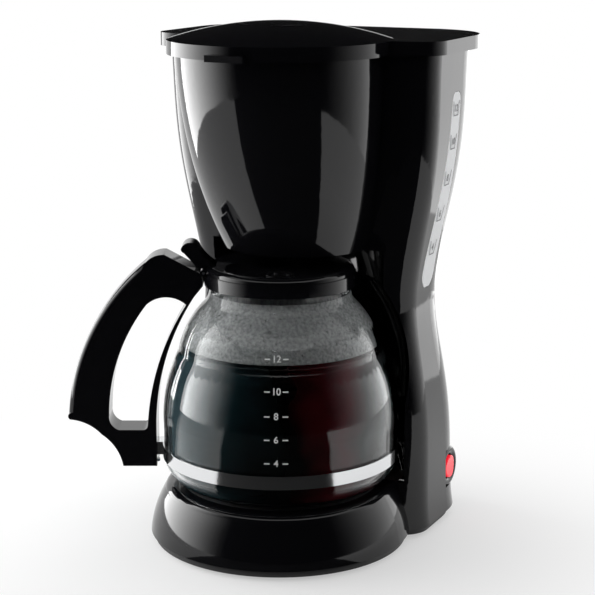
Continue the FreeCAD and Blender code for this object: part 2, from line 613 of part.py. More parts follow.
keep("carafe_band", place(fuse("band_shape", turned("band_ring", [
    (BAND_IN, "dim.band_z"), (f"{BAND_IN} + dim.band_thick", "dim.band_z"),
    (f"{BAND_IN} + dim.band_thick", "dim.band_z + dim.band_high"),
    (BAND_IN, "dim.band_z + dim.band_high")]), cut("lug_bored", band_lug, cylinder(
        "lug_bore", "1.6", "20", "80.5", "0", "dim.band_z - 5"))), "0", "0", "0", *ROUND))
COLLAR_TOP = "dim.collar_z + dim.collar_high"
collar_ring = turned("collar_ring", [
    ("dim.neck_radius + 0.05", "dim.collar_z"), ("dim.neck_radius + 3", "dim.collar_z"),
    ("dim.neck_radius + 3", COLLAR_TOP), ("dim.neck_radius + 0.05", COLLAR_TOP)])
POUR = ("dim.pour_hinge_x", "dim.pour_hinge_z", (1, 0, 0), "-90")


def pour_barrel(name, radius, half):
    """Return a cylinder on the axis of the pouring lid."""
    x, z, axis, angle = POUR
    return cylinder(name, radius, f"2 * ({half})", x, f"-({half})", z, axis, angle)


knuckle_room = pour_barrel("knuckle_room", "dim.pour_knuckle + dim.gap", "dim.handle_thick")
keep("carafe_collar", place(cut("collar_shape", collar_ring, knuckle_room), "0", "0", "0", *ROUND))
loop = [
    ("72", "187"), ("49", "174.6"), ("48.3", "167"), ("54", "160"), ("79", "75", "-158"), ("79", "49"),
    ("100.7", "49"), ("114", "70", "-32"), ("134", "80", "-30"), ("135", "83", "2.4"),
    ("84", "182", "140"), ("72", "187", "14")][1:]
grip = [("84", "155"), ("59", "155", "18.5"), ("84.5", "76", "-164"), ("88", "73", "3.2"),
        ("103", "73"), ("109", "83", "9"), ("84", "155", "121")][1:]
handle_body = padded("handle_body", loop, "dim.handle_thick", "XZ_Plane", middle=True,
                     holes=(grip,))
handle_soft = DOC.addObject("Part::Fillet", "handle_soft")
handle_soft.Base = handle_body
DOC.recompute()
handle_soft.Edges = [(index, 4.0, 4.0) for index, edge in
                     enumerate(handle_body.Shape.Edges, start=1) if edge.Length > 100]
band_slot = box("band_slot", "12", "12.4", "dim.band_high + 0.4", "dim.glass_radius - 2", "-6.2",
                "dim.band_z - 0.2")
band_clear = turned("band_clear", [
    ("0", "40"), ("dim.glass_radius + 1.2", "40"), ("dim.glass_radius + 1.2", "90"), ("0", "150")])
collar_clear = cylinder("collar_clear", "dim.neck_radius + 3.02", "20", z="dim.collar_z - 5")
pour_ears = cut("pour_ears", pour_barrel("ear_barrel", "dim.pour_knuckle", "dim.handle_thick / 2"),
                pour_barrel("ear_split", "dim.pour_knuckle + 5", "dim.lever_half + dim.gap"))
handle_eared = fuse("handle_eared", cut("handle_open", handle_soft, pour_barrel(
    "lever_room", "dim.pour_knuckle + dim.gap", "dim.lever_half + dim.gap")), pour_ears)
keep("carafe_handle", place(cut("handle_shape", handle_eared, band_slot, band_clear, collar_clear,
                                 pour_barrel("ear_bore", "dim.pour_pin + 0.02", "dim.handle_thick"),
                                 cylinder("handle_bore", "1.6", "20", "80.5", "0", "48"),
                                 cylinder("handle_sink", "2.9", "3", "80.5", "0", "48")),
                            "0", "0", "0", *ROUND))
keep("handle_screw", place(fuse(
    "handle_screw_shape", cylinder("handle_screw_head", "2.6", "1.6", "80.5", "0", "49.3"),
    cylinder("handle_screw_shank", "1.5", "12.5", "80.5", "0", "50.5")), "0", "0", "0", *ROUND))
lid_disc = turned("pour_lid", [
    ("0", COLLAR_TOP), ("dim.neck_radius + 2", COLLAR_TOP),
    ("dim.neck_radius + 2", f"{COLLAR_TOP} + 2"), ("dim.neck_radius - 2", f"{COLLAR_TOP} + 4.5", "4"),
    ("14", f"{COLLAR_TOP} + 4.5"), ("9", f"{COLLAR_TOP} + 1.5"), ("0", f"{COLLAR_TOP} + 1.5")])
lever = padded("thumb_lever", [("40", f"{COLLAR_TOP} + 1"), ("52", "178.4"), ("60", "187.5"),
                               ("62", "190", "3"), ("50.5", "190", "6"), ("40", f"{COLLAR_TOP} + 4.5", "-30")],
               "2 * dim.lever_half", "XZ_Plane", middle=True)
ear_room = cut("ear_room", pour_barrel("ear_clear", "dim.pour_knuckle + dim.gap", "dim.handle_thick"),
               pour_barrel("ear_keep", "dim.pour_knuckle + 5", "dim.lever_half"))
keep("carafe_lid", place(cut("lid_cut", fuse(
    "lid_union", cut("disc_cleared", lid_disc, ear_room), lever,
    pour_barrel("knuckle", "dim.pour_knuckle", "dim.lever_half")),
    cylinder("lid_drip", "3", "20", z="170"),
    pour_barrel("pour_bore", "dim.pour_pin + 0.05", "dim.handle_thick")), "0", "0", "0", *ROUND))
keep("pour_pin", place(group("pour_pin_shape", pour_barrel(
    "pour_pin_rod", "dim.pour_pin", "dim.handle_thick / 2 - 0.5")), "0", "0", "0", *ROUND))

# Switch
bezel_x = "dim.foot_half - 8"
bezel = cut("bezel_shape", box("bezel_block", "9", "15", "2 * dim.rocker_half + 6", bezel_x,
                               "dim.rocker_y - 7.5", "dim.rocker_z - dim.rocker_half - 3"),
            box("bezel_hole", "30", "10.6", "2 * dim.rocker_half + 2.4", "dim.foot_half - 12",
                "dim.rocker_y - 5.3", "dim.rocker_z - dim.rocker_half - 1.2"),
            cylinder("axle_bore", "1.04", "14", "dim.foot_half - 5", "dim.rocker_y - 7", "dim.rocker_z",
                     (1, 0, 0), "-90"))
keep("switch_bezel", bezel)
rocker_face = [("0", "-dim.rocker_half"), ("6", "-dim.rocker_half"), ("4", "0"),
               ("7.5", "dim.rocker_half"), ("0", "dim.rocker_half")]
rocker = padded("rocker_shape", rocker_face, "10", "XZ_Plane", middle=True)
place(rocker, "dim.foot_half - 6", "dim.rocker_y", "dim.rocker_z")
keep("switch_rocker", fuse("rocker_union", rocker, cylinder(
    "axle", "1", "12.6", "dim.foot_half - 5", "dim.rocker_y - 6.3", "dim.rocker_z", (1, 0, 0), "-90")))
keep("switch_body", box("switch_case", "14", "14", "2 * dim.rocker_half + 5", "dim.foot_half - 22",
                        "dim.rocker_y - 7", "dim.rocker_z - dim.rocker_half - 2.5"))
keep("cord_gland", cut("gland_shape", fuse(
    "gland_union", cylinder("gland_tube", "6", "16", "-40", "104", "34", (1, 0, 0), "-90"),
    cylinder("gland_head", "8.5", "3", "-40", "118.4", "34", (1, 0, 0), "-90")),
    cylinder("gland_bore", "3.5", "40", "-40", "95", "34", (1, 0, 0), "-90")))

DOC.recompute()
for item in DOC.Objects:
    if "Invalid" in item.State or "Error" in item.State:
        raise RuntimeError(f"{item.Label} did not build: {item.State}")
os.makedirs("parts", exist_ok=True)
for node, feature in PIECES.items():
    shape = feature.Shape
    if shape.isNull() or not shape.isValid():
        raise RuntimeError(f"{node} has no valid shape")
    shape.exportStep(f"parts/{node}.step")
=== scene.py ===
"""Studio scene of a drip coffee maker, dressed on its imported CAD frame."""
import json
import logging
import math
from dataclasses import dataclass, field
from enum import Enum
from typing import Callable

import bpy
from mathutils import Euler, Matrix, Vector
from mathutils.bvhtree import BVHTree


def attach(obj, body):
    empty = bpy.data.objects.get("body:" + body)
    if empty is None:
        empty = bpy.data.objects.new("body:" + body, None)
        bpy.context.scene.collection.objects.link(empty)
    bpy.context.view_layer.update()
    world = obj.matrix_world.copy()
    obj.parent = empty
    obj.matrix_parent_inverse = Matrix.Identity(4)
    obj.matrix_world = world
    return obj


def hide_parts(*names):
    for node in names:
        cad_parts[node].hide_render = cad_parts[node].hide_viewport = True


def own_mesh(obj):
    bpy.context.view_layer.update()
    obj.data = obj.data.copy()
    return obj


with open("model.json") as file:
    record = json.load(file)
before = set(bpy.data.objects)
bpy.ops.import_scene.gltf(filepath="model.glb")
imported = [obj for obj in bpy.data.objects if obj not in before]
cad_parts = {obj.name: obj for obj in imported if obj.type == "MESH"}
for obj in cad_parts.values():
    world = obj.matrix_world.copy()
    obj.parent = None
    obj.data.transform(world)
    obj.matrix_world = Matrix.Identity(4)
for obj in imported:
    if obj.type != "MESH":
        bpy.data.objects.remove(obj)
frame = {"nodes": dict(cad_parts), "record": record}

LOG = logging.getLogger("coffee_maker")
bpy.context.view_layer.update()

CAMERA_PLACE = (0.4745, -0.9479, 0.400)
CAMERA_PITCH = 0.225
CAMERA_TURN = math.radians(26.0)
CAMERA_LENS_MM = 103.9
SENSOR_MM = 36.0

COFFEE_LEVEL = 0.127
MIST_TOP = 0.163
GLASS_GAP = 0.0005
GLASS_WALL = 0.0026
MARK_LIFT = 0.00025
MARK_FACING = math.radians(-65.5)
OUTSIDE = 0.3
ABOVE = 0.4
INWARD = Vector((-1, 0, 0))
DOWN = Vector((0, 0, -1))
FULL_TURN = 2 * math.pi
MM_PER_M = 1000


class Body(Enum):
    """CAD bodies that dressed pieces ride on."""

    MACHINE = "machine"
    LID = "lid"
    BASKET = "basket"
    ROCKER = "rocker"
    CARAFE = "carafe"


@dataclass(frozen=True)
class Finish:
    """A surface finish.

    Attributes:
        name: Material name.
        colour: Linear base colour.
        roughness: Mean roughness.
        metallic: 1 for bare metal.
        transmission: 1 for clear glass.
        ior: Index of refraction.
        coat: Clear coat weight.
        glow: Emission strength in the base colour; the lamp of the lit rocker, and painted
            light on the gauge pane.
        grain: Depth of the fine surface unevenness, in metres.
        grain_scale: Scale of that unevenness, per metre.
    """

    name: str
    colour: tuple[float, float, float]
    roughness: float = 0.4
    metallic: float = 0.0
    transmission: float = 0.0
    ior: float = 1.5
    coat: float = 0.0
    glow: float = 0.0
    grain: float = 0.0
    grain_scale: float = 300.0


FINISHES: dict[str, Finish] = {
    "black_shell": Finish("gloss_black", (0.004, 0.004, 0.005), 0.06, ior=1.48,
                          grain=0.00002, grain_scale=60.0),
    "matte_black": Finish("satin_black", (0.012, 0.012, 0.013), 0.45, grain=0.00005),
    "rubber": Finish("soft_rubber", (0.015, 0.015, 0.015), 0.8, grain=0.0001),
    "steel": Finish("plain_steel", (0.56, 0.57, 0.58), 0.3, 1.0, grain=0.00003),
    "coated_plate": Finish("coated_plate", (0.02, 0.02, 0.02), 0.35, grain=0.00005),
    "aluminium": Finish("raw_aluminium", (0.65, 0.66, 0.67), 0.4, 1.0, grain=0.00005),
    "hose": Finish("milky_silicone", (0.6, 0.59, 0.55), 0.5, grain=0.00003),
    # The gauge pane's glow is painted light: the window holds no lamp, and its emission only
    # brightens it.
    "window": Finish("gauge_pane_painted_glow", (0.74, 0.75, 0.76), 0.5, ior=1.25, glow=0.12,
                     grain=0.00002),
    "red_lens": Finish("lit_red_lens", (0.75, 0.01, 0.025), 0.2, glow=0.9, coat=0.3),
    "glass": Finish("carafe_glass", (0.97, 0.985, 0.985), 0.0, transmission=1.0, ior=1.33),
    "band_steel": Finish("polished_band", (0.78, 0.79, 0.8), 0.12, 1.0, grain=0.00002),
}
COFFEE = Finish("brewed_coffee", (0.006, 0.003, 0.002), 0.04, ior=1.33)
# Painted light on the coffee: teal and red tints of light through its sides, set as colour
# across the camera's view instead of rendered.
COFFEE_PAINTED_LIGHT_TINTS: tuple[tuple[float, tuple[float, float, float]], ...] = (
    (0.0, (0.06, 0.11, 0.13)), (0.24, (0.012, 0.03, 0.036)), (0.54, (0.003, 0.002, 0.002)),
    (0.76, (0.12, 0.008, 0.014)), (0.9, (0.02, 0.016, 0.018)), (1.0, (0.06, 0.09, 0.09)))
COFFEE_PAINTED_LIGHT_SPAN = (-0.045, 0.095)
COFFEE_PAINTED_LIGHT_NOISE = 24.0
COFFEE_PAINTED_LIGHT_SWAY = 0.05
INK = Finish("white_ink", (0.85, 0.86, 0.86), 0.5)
DARK_INK = Finish("grey_ink", (0.16, 0.16, 0.17), 0.5)
MIST = Finish("steam_film", (0.78, 0.80, 0.80), 0.6)
MIST_NOISE = {"Scale": 520.0, "Detail": 6.0}
MIST_COVER = {"From Min": 0.3, "From Max": 0.7, "To Min": 0.25, "To Max": 0.6}
WATER = Finish("water_bead", (0.95, 0.97, 0.97), 0.02, transmission=1.0, ior=1.33)
FLOOR = Finish("pale_floor", (0.93, 0.93, 0.93), 0.9, ior=1.0)
FLOOR_FADE = {"From Min": 0.08, "From Max": 0.34, "To Min": 0.45, "To Max": 1.0}
CARD = Finish("card_black", (0.0, 0.0, 0.0), 1.0)
WHITE = (1.0, 1.0, 1.0, 1.0)


def set_inputs(node: bpy.types.Node, values: dict) -> None:
    """Set the unlinked inputs of a node, by name or by number."""
    for key, value in values.items():
        node.inputs[key].default_value = value


def grain_group() -> bpy.types.NodeTree:
    """Return the shared node group that bumps a surface finely."""
    name = "fine_grain"
    if name in bpy.data.node_groups:
        return bpy.data.node_groups[name]
    tree = bpy.data.node_groups.new(name, "ShaderNodeTree")
    tree.interface.new_socket("Scale", in_out="INPUT", socket_type="NodeSocketFloat")
    tree.interface.new_socket("Depth", in_out="INPUT", socket_type="NodeSocketFloat")
    tree.interface.new_socket("Normal", in_out="OUTPUT", socket_type="NodeSocketVector")
    inputs, outputs = tree.nodes.new("NodeGroupInput"), tree.nodes.new("NodeGroupOutput")
    place = tree.nodes.new("ShaderNodeTexCoord")
    noise, bump = tree.nodes.new("ShaderNodeTexNoise"), tree.nodes.new("ShaderNodeBump")
    tree.links.new(place.outputs["Object"], noise.inputs["Vector"])
    tree.links.new(inputs.outputs["Scale"], noise.inputs["Scale"])
    tree.links.new(noise.outputs["Fac"], bump.inputs["Height"])
    tree.links.new(inputs.outputs["Depth"], bump.inputs["Distance"])
    tree.links.new(bump.outputs["Normal"], outputs.inputs["Normal"])
    return tree


def make_material(finish: Finish) -> bpy.types.Material:
    """Return the material of a finish.

    Args:
        finish: What the surface is like.

    Returns:
        A node material with one Principled BSDF, shared by name.
    """
    if finish.name in bpy.data.materials:
        return bpy.data.materials[finish.name]
    material = bpy.data.materials.new(finish.name)
    material.use_nodes = True
    nodes = material.node_tree.nodes
    shader = nodes["Principled BSDF"]
    set_inputs(shader, {
        "Base Color": (*finish.colour, 1.0), "Roughness": finish.roughness,
        "Metallic": finish.metallic, "Transmission Weight": finish.transmission,
        "IOR": finish.ior, "Coat Weight": finish.coat})
    if finish.glow:
        set_inputs(shader, {"Emission Color": (*finish.colour, 1.0),
                            "Emission Strength": finish.glow})
    if finish.grain:
        grain = nodes.new("ShaderNodeGroup")
        grain.node_tree = grain_group()
        set_inputs(grain, {"Scale": finish.grain_scale, "Depth": finish.grain})
        material.node_tree.links.new(grain.outputs["Normal"], shader.inputs["Normal"])
    return material


def mist_film() -> bpy.types.Material:
    """Return the patchy steam film inside the glass."""
    material = make_material(MIST)
    nodes, link = material.node_tree.nodes, material.node_tree.links.new
    place, noise = nodes.new("ShaderNodeTexCoord"), nodes.new("ShaderNodeTexNoise")
    patch = nodes.new("ShaderNodeMapRange")
    set_inputs(noise, MIST_NOISE)
    set_inputs(patch, MIST_COVER)
    link(place.outputs["Object"], noise.inputs["Vector"])
    link(noise.outputs["Fac"], patch.inputs["Value"])
    link(patch.outputs["Result"], nodes["Principled BSDF"].inputs["Alpha"])
    return material


def coffee_with_painted_light() -> bpy.types.Material:
    """Return the coffee, with painted light: the teal and red tints of light through its
    sides, laid as colour across the camera's view.
    """
    material = make_material(COFFEE)
    nodes, link = material.node_tree.nodes, material.node_tree.links.new
    place, across = nodes.new("ShaderNodeTexCoord"), nodes.new("ShaderNodeVectorMath")
    noise, sway = nodes.new("ShaderNodeTexNoise"), nodes.new("ShaderNodeMath")
    share, ramp = nodes.new("ShaderNodeMapRange"), nodes.new("ShaderNodeValToRGB")
    across.operation, sway.operation = "DOT_PRODUCT", "MULTIPLY_ADD"
    first, last = COFFEE_PAINTED_LIGHT_SPAN
    set_inputs(across, {1: (math.cos(CAMERA_TURN), math.sin(CAMERA_TURN), 0.0)})
    set_inputs(noise, {"Scale": COFFEE_PAINTED_LIGHT_NOISE})
    set_inputs(sway, {1: COFFEE_PAINTED_LIGHT_SWAY})
    set_inputs(share, {"From Min": first, "From Max": last})
    stops = ramp.color_ramp.elements
    for share_at, tint in COFFEE_PAINTED_LIGHT_TINTS[1:-1]:
        stops.new(share_at).color = (*tint, 1.0)
    for end in (0, -1):
        stops[end].color = (*COFFEE_PAINTED_LIGHT_TINTS[end][1], 1.0)
    link(place.outputs["Object"], across.inputs[0])
    link(place.outputs["Object"], noise.inputs["Vector"])
    link(noise.outputs["Fac"], sway.inputs[0])
    link(across.outputs["Value"], sway.inputs[2])
    link(sway.outputs["Value"], share.inputs["Value"])
    link(share.outputs["Result"], ramp.inputs["Fac"])
    link(ramp.outputs["Color"], nodes["Principled BSDF"].inputs["Base Color"])
    return material


def paint(obj: bpy.types.Object, material: bpy.types.Material) -> None:
    """Make a material the only one of an object."""
    obj.data.materials.clear()
    obj.data.materials.append(material)


def dress(obj: bpy.types.Object, material: bpy.types.Material, body: Body) -> bpy.types.Object:
    """Give a made piece its material and its body."""
    paint(obj, material)
    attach(obj, body.value)
    return obj


def shade(mesh: bpy.types.Mesh, smooth: bool) -> None:
    """Shade every face of a mesh smooth or flat."""
    mesh.polygons.foreach_set("use_smooth", [smooth] * len(mesh.polygons))


def linked(name: str, data: bpy.types.ID) -> bpy.types.Object:
    """Return an object of the scene that holds the data."""
    obj = bpy.data.objects.new(name, data)
    bpy.context.scene.collection.objects.link(obj)
    return obj


def mesh_object(name: str, verts: list, faces: list, smooth: bool = True) -> bpy.types.Object:
    """Return a linked mesh object."""
    mesh = bpy.data.meshes.new(name)
    mesh.from_pydata([tuple(v) for v in verts], [], faces)
    mesh.validate()
    shade(mesh, smooth)
    return linked(name, mesh)


def evaluated_mesh(obj: bpy.types.Object) -> bpy.types.Mesh:
    """Return a new mesh of an object as its modifiers leave it."""
    graph = bpy.context.evaluated_depsgraph_get()
    return bpy.data.meshes.new_from_object(obj.evaluated_get(graph))


def turned(profile: list, steps: int) -> list:
    """Return the points of (height, radius) rows turned about the Z axis."""
    angles = [FULL_TURN * step / steps for step in range(steps)]
    return [(r * math.cos(angle), r * math.sin(angle), z)
            for z, r in profile for angle in angles]


def skin(first: int, second: int, steps: int, flip: bool = False) -> list:
    """Return the faces between two closed rows of points.

    Args:
        first: Number of the one row.
        second: Number of the other row.
        steps: Points in a row.
        flip: Whether the faces look the other way.

    Returns:
        One quad for each step.
    """
    quads = [(first * steps + s, first * steps + (s + 1) % steps,
              second * steps + (s + 1) % steps, second * steps + s) for s in range(steps)]
    return [(a, d, c, b) for a, b, c, d in quads] if flip else quads


def capped(rows: int, steps: int, flip: bool = False) -> list:
    """Return the faces through all rows of points, closed at both ends."""
    faces = [face for i in range(rows - 1) for face in skin(i, i + 1, steps, flip)]
    first, last = range(steps), range((rows - 1) * steps, rows * steps)
    way = 1 if flip else -1
    return [*faces, tuple(first[::way]), tuple(last[::-way])]


@dataclass
class Shells:
    """Every CAD node with its finish, soft edges and smooth shading."""

    bevels: dict[str, float] = field(default_factory=lambda: {
        "base_housing": 0.0012, "upper_housing": 0.0010, "brew_lid": 0.0016,
        "carafe_handle": 0.0022, "carafe_lid": 0.0010, "carafe_collar": 0.0010,
        "rear_cover": 0.0006, "bottom_cover": 0.0008, "gauge_window": 0.0004})
    bevel_segments: int = 3
    bevel_angle: float = math.radians(38)
    sharp_angle: float = math.radians(32)

    def build(self) -> None:
        """Finish all nodes."""
        slots = {row["node"]: row["material_slot"] for row in frame["record"]["subparts"]}
        for node, obj in frame["nodes"].items():
            paint(obj, make_material(FINISHES[slots[node]]))
            shade(obj.data, True)
            obj.data.set_sharp_from_angle(angle=self.sharp_angle)
            if node in self.bevels:
                self.soften(obj, self.bevels[node])

    def soften(self, obj: bpy.types.Object, width: float) -> None:
        """Round the sharp edges of a node."""
        bevel = obj.modifiers.new("soft_edges", "BEVEL")
        bevel.width = width
        bevel.segments = self.bevel_segments
        bevel.limit_method = "ANGLE"
        bevel.angle_limit = self.bevel_angle
        bevel.harden_normals = True


@dataclass
class Carafe:
    """Coffee, printed scale, steam film and condensation of the carafe.

    Attributes:
        cups: Each number of the scale and its height.
        letter_size: Size of the numbers.
        dash_long: Half the length of a dash beside a number.
        dash_thick: Half its thickness.
        dash_shift: How far its middle is from the number's.
        steps: Points round the coffee and the film.
        row_gap: Least height of the coffee over the glass floor, and of the film over it.
        film_inset: How far the film lies inside the inner wall.
        film_thick: Thickness of the film.
        bead_steps: Points round the wall that carries the beads.
        bead_inset: How far that wall lies inside the inner wall.
        bead_low: Height of the lowest beads above the coffee.
        bead_density: Beads per square metre.
        bead_size: Radius of the largest bead.
        outer: Heights and outer radii of the glass, measured when built.
    """

    cups: tuple[tuple[str, float], ...] = (
        ("12", 0.1335), ("10", 0.115), ("8", 0.1007), ("6", 0.0866), ("4", 0.0718))
    letter_size: float = 0.0056
    dash_long: float = 0.0017
    dash_thick: float = 0.0004
    dash_shift: float = 0.0056
    steps: int = 72
    row_gap: float = 0.001
    film_inset: float = 0.0004
    film_thick: float = 0.0002
    bead_steps: int = 64
    bead_inset: float = 0.0014
    bead_low: float = 0.006
    bead_density: float = 26000.0
    bead_size: float = 0.0009
    outer: tuple[tuple[float, float], ...] = ()

    def build(self) -> None:
        """Make all pieces."""
        self.outer = self.measure()
        self.coffee()
        self.scale()
        self.mist()
        self.beads()

    @staticmethod
    def measure() -> tuple[tuple[float, float], ...]:
        """Return (height, outer radius) of the glass at each millimetre."""
        heights = [vertex.co.z for vertex in frame["nodes"]["carafe_glass"].data.vertices]
        tree = surface_of("carafe_glass")
        found = []
        for level in range(round(min(heights) * MM_PER_M) + 1, round(max(heights) * MM_PER_M)):
            height = level / MM_PER_M
            hit = tree.ray_cast(Vector((OUTSIDE, 0.0, height)), INWARD)[0]
            if hit is not None:
                found.append((height, hit.x))
        return tuple(found)

    def radius(self, height: float) -> float:
        """Return the outer radius of the glass at a height."""
        return min(self.outer, key=lambda pair: abs(pair[0] - height))[1]

    def coffee(self) -> None:
        """Make the brewed coffee as a turned solid inside the glass."""
        inset = GLASS_WALL + GLASS_GAP
        low = min(pair[0] for pair in self.outer) + inset + self.row_gap
        profile = [(z, r - inset) for z, r in self.outer if low < z < COFFEE_LEVEL]
        profile.append((COFFEE_LEVEL, self.radius(COFFEE_LEVEL) - inset))
        coffee = mesh_object("coffee", turned(profile, self.steps),
                             capped(len(profile), self.steps))
        dress(coffee, coffee_with_painted_light(), Body.CARAFE)

    def wrap(self, across: float, height: float) -> Vector:
        """Return the point of the glass at a distance along its scale."""
        radius = self.radius(height) + MARK_LIFT
        angle = MARK_FACING + across / radius
        return Vector((radius * math.cos(angle), radius * math.sin(angle), height))

    def scale(self) -> None:
        """Print the cup scale on the glass, with a dash on each side of a number."""
        long, thick = self.dash_long, self.dash_thick
        dash = [(-long, -thick), (long, -thick), (long, thick), (-long, thick)]
        for text, height in self.cups:
            verts, faces = letter_mesh(text, self.letter_size)
            for shift in (-self.dash_shift, self.dash_shift):
                start = len(verts)
                verts += [(x + shift, y) for x, y in dash]
                faces.append(tuple(range(start, start + len(dash))))
            placed = [self.wrap(x, height + y) for x, y in verts]
            obj = mesh_object(f"cup_mark_{text}", placed, faces, smooth=False)
            dress(obj, make_material(INK), Body.CARAFE)

    def mist(self) -> None:
        """Make the thin steam film on the glass above the coffee."""
        inset, low = GLASS_WALL + self.film_inset, COFFEE_LEVEL + self.row_gap
        walls = [(z, r - inset) for z, r in self.outer if low < z < MIST_TOP]
        loop = walls + [(z, r - self.film_thick) for z, r in reversed(walls)]
        faces = [face for i in range(len(loop))
                 for face in skin(i, (i + 1) % len(loop), self.steps)]
        film = mesh_object("steam_film", turned(loop, self.steps), faces)
        dress(film, mist_film(), Body.CARAFE)

    def beads(self) -> None:
        """Scatter condensed water on the glass above the coffee."""
        low = COFFEE_LEVEL + self.bead_low
        band = [(z, r - GLASS_WALL - self.bead_inset) for z, r in self.outer
                if low < z < MIST_TOP]
        faces = [face for i in range(len(band) - 1)
                 for face in skin(i, i + 1, self.bead_steps, flip=True)]
        wall = mesh_object("bead_wall", turned(band, self.bead_steps), faces)
        beads = scatter(wall, "condensation", self.bead_density, self.bead_size)
        dress(beads, make_material(WATER), Body.CARAFE)


def scatter(base: bpy.types.Object, name: str, density: float,
            size: float) -> bpy.types.Object:
    """Return beads scattered on a wall by geometry nodes, as a plain mesh.

    Args:
        base: The wall, which is removed.
        name: Name of the result.
        density: Beads per square metre.
        size: Radius of the largest bead, in metres.

    Returns:
        A linked mesh object.
    """
    seed, fineness, smallest, largest = 7, 2, 0.3, 1.0
    tree = bpy.data.node_groups.new(f"{name}_nodes", "GeometryNodeTree")
    for way in ("INPUT", "OUTPUT"):
        tree.interface.new_socket("Geometry", in_out=way, socket_type="NodeSocketGeometry")
    add, link = tree.nodes.new, tree.links.new
    start, end = add("NodeGroupInput"), add("NodeGroupOutput")
    points, ball = add("GeometryNodeDistributePointsOnFaces"), add("GeometryNodeMeshIcoSphere")
    stamp, real = add("GeometryNodeInstanceOnPoints"), add("GeometryNodeRealizeInstances")
    spread = add("FunctionNodeRandomValue")
    set_inputs(points, {"Density": density, "Seed": seed})
    set_inputs(ball, {"Radius": size, "Subdivisions": fineness})
    set_inputs(spread, {2: smallest, 3: largest})
    link(start.outputs[0], points.inputs["Mesh"])
    link(points.outputs["Points"], stamp.inputs["Points"])
    link(ball.outputs["Mesh"], stamp.inputs["Instance"])
    link(spread.outputs[1], stamp.inputs["Scale"])
    link(stamp.outputs["Instances"], real.inputs["Geometry"])
    link(real.outputs["Geometry"], end.inputs[0])
    base.modifiers.new("scatter", "NODES").node_group = tree
    mesh = evaluated_mesh(base)
    mesh.name = name
    bpy.data.objects.remove(base, do_unlink=True)
    shade(mesh, True)
    return linked(name, mesh)


def letter_mesh(text: str, size: float) -> tuple[list, list]:
    """Return the flat points and faces of centred lettering."""
    weight = 0.02
    curve = bpy.data.curves.new(f"letters_{text}", "FONT")
    curve.body = text
    curve.size = size
    curve.align_x, curve.align_y = "CENTER", "CENTER"
    curve.offset = size * weight
    obj = linked(f"letters_{text}", curve)
    mesh = evaluated_mesh(obj)
    verts = [(v.co.x, v.co.y) for v in mesh.vertices]
    faces = [tuple(p.vertices) for p in mesh.polygons]
    bpy.data.objects.remove(obj, do_unlink=True)
    bpy.data.meshes.remove(mesh)
    return verts, faces


def surface_of(node: str) -> BVHTree:
    """Return a ray-cast tree over a CAD node at rest."""
    mesh = frame["nodes"][node].data
    return BVHTree.FromPolygons([v.co.copy() for v in mesh.vertices],
                                [tuple(p.vertices) for p in mesh.polygons])


@dataclass
class Gauge:
    """Cup marks printed on the gauge window.

    Attributes:
        marks: Each number, its height and its place along Y.
        letter_size: Size of the numbers.
        cup_wide: Width of the cup round a number, at its brim.
        cup_high: Height of the cup.
        cup_foot: Half the width of its foot, as a share of its brim.
        line: Thickness of its outline.
    """

    marks: tuple[tuple[str, float, float], ...] = (
        ("12", 0.2755, 0.0625), ("10", 0.2545, 0.0615), ("8", 0.2315, 0.060),
        ("6", 0.2085, 0.0585), ("4", 0.1865, 0.058))
    letter_size: float = 0.0062
    cup_wide: float = 0.0105
    cup_high: float = 0.0095
    cup_foot: float = 0.36
    line: float = 0.0007

    def build(self) -> None:
        """Print every mark."""
        tree = surface_of("gauge_window")
        for text, height, middle in self.marks:
            verts, faces = letter_mesh(text, self.letter_size)
            self.cup(verts, faces)
            placed = [self.seat(tree, middle + x, height + y) for x, y in verts]
            obj = mesh_object(f"gauge_mark_{text}", placed, faces, smooth=False)
            dress(obj, make_material(DARK_INK), Body.MACHINE)

    def cup(self, verts: list, faces: list) -> None:
        """Add the outline of a cup round a number."""
        top, low = self.cup_wide / 2, self.cup_wide * self.cup_foot
        rise = self.cup_high / 2
        outer = [(-top, rise), (-low, -rise), (low, -rise), (top, rise)]
        start = len(verts)
        for x, y in outer:
            verts.append((x, y))
            inset = self.line if x < 0 else -self.line
            verts.append((x + inset, y + (self.line if y < 0 else 0.0)))
        for i in range(len(outer) - 1):
            a = start + 2 * i
            faces.append((a, a + 2, a + 3, a + 1))

    @staticmethod
    def seat(tree: BVHTree, y: float, z: float) -> Vector:
        """Return the point of the window at (y, z), lifted off it."""
        beside = 0.1
        hit, normal, _, _ = tree.ray_cast(Vector((OUTSIDE, y, z)), INWARD)
        if hit is None:
            hit, normal, _, _ = tree.find_nearest(Vector((beside, y, z)))
        return hit + normal * MARK_LIFT


@dataclass
class DripSpring:
    """The drip stop's coil spring, made at rest; the valve presses it flat as it rises."""

    turns: float = 2.5
    steps_per_turn: int = 28
    wire_sides: int = 8
    keep: float = 0.4

    def build(self) -> None:
        """Make the coil in the place of its CAD sleeve."""
        verts = [vertex.co for vertex in frame["nodes"]["valve_spring"].data.vertices]
        reach = [math.hypot(vert.x, vert.y) for vert in verts]
        low, top = min(vert.z for vert in verts), max(vert.z for vert in verts)
        wire = (max(reach) - min(reach)) / 2
        middle = (max(reach) + min(reach)) / 2
        count = int(self.turns * self.steps_per_turn)
        rings = []
        for step in range(count + 1):
            angle = FULL_TURN * step / self.steps_per_turn
            height = low + wire + (top - low - 2 * wire) * step / count
            for side in range(self.wire_sides):
                roll = FULL_TURN * side / self.wire_sides
                out = middle + wire * math.cos(roll)
                rings.append((out * math.cos(angle), out * math.sin(angle),
                              height + wire * math.sin(roll)))
        faces = capped(count + 1, self.wire_sides, flip=True)
        coil = mesh_object("drip_spring", rings, faces)
        dress(coil, make_material(FINISHES["steel"]), Body.BASKET)
        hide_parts("valve_spring")
        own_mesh(coil)


